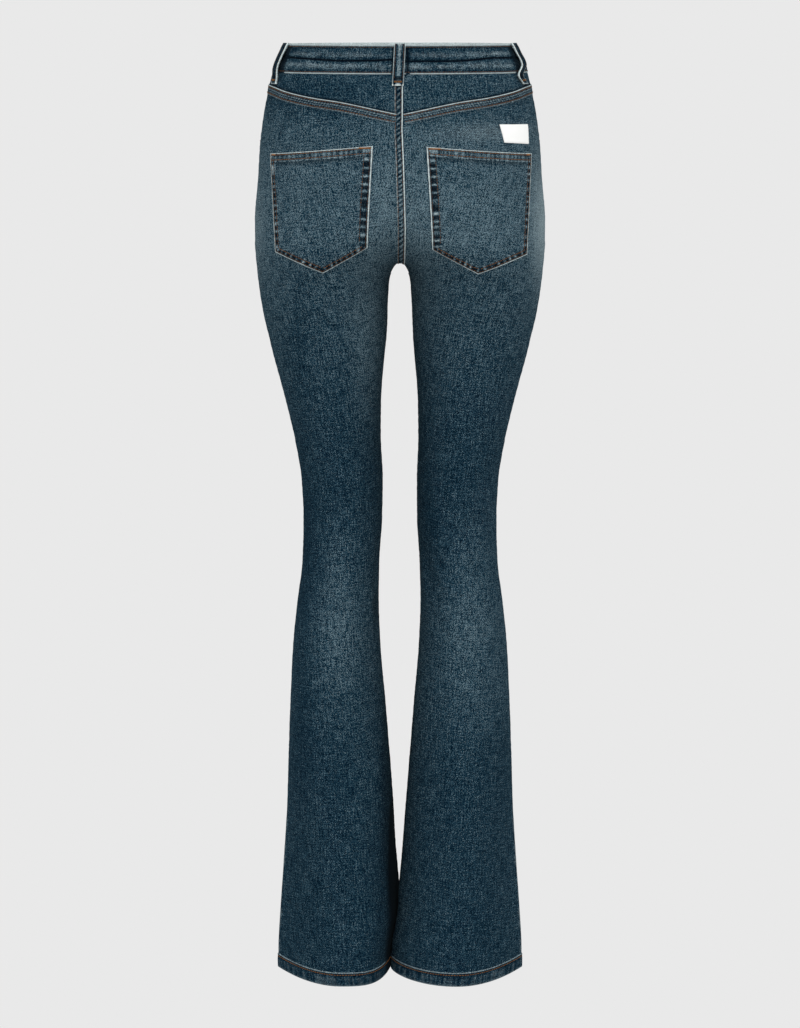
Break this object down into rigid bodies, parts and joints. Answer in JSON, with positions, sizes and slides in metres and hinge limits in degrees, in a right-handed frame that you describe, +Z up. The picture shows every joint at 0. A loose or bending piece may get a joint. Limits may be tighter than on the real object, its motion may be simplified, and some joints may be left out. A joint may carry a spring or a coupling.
{
  "type": "flared jeans",
  "caption": "Women's flared denim jeans, filled out as worn, with yokes, patch pockets, belt loops, a lapped fly and hollow open legs.",
  "frame": {"origin": "centre of the waist opening, level with the waistband's top edge", "axes": "+Z up towards the wearer's head, -Y the way the wearer faces, +X towards the wearer's left"},
  "size_m": [0.3388, 0.2375, 1.1162],
  "materials": {
    "denim": "washed indigo twill with orange-brown topstitching and worn, pale seam edges",
    "label_cloth": "smooth white patch, bare",
    "brass": "aged satin"
  },
  "bodies": {
    "root": {"back_left": "denim", "back_left_knee": "denim", "back_left_calf": "denim", "back_left_flare": "denim", "back_right": "denim", "back_right_knee": "denim", "back_right_calf": "denim", "back_right_flare": "denim", "front_left": "denim", "front_left_knee": "denim", "front_left_calf": "denim", "front_left_flare": "denim", "front_right": "denim", "front_right_knee": "denim", "front_right_calf": "denim", "front_right_flare": "denim", "yoke_left": "denim", "yoke_right": "denim", "facing_left": "denim", "facing_right": "denim", "waistband": "denim", "loop_back": "denim", "loop_back_left": "denim", "loop_back_right": "denim", "loop_front_left": "denim", "loop_front_right": "denim", "back_pocket_left": "denim", "back_pocket_right": "denim", "label": "label_cloth", "button": "brass"}
  },
  "joints": []
}
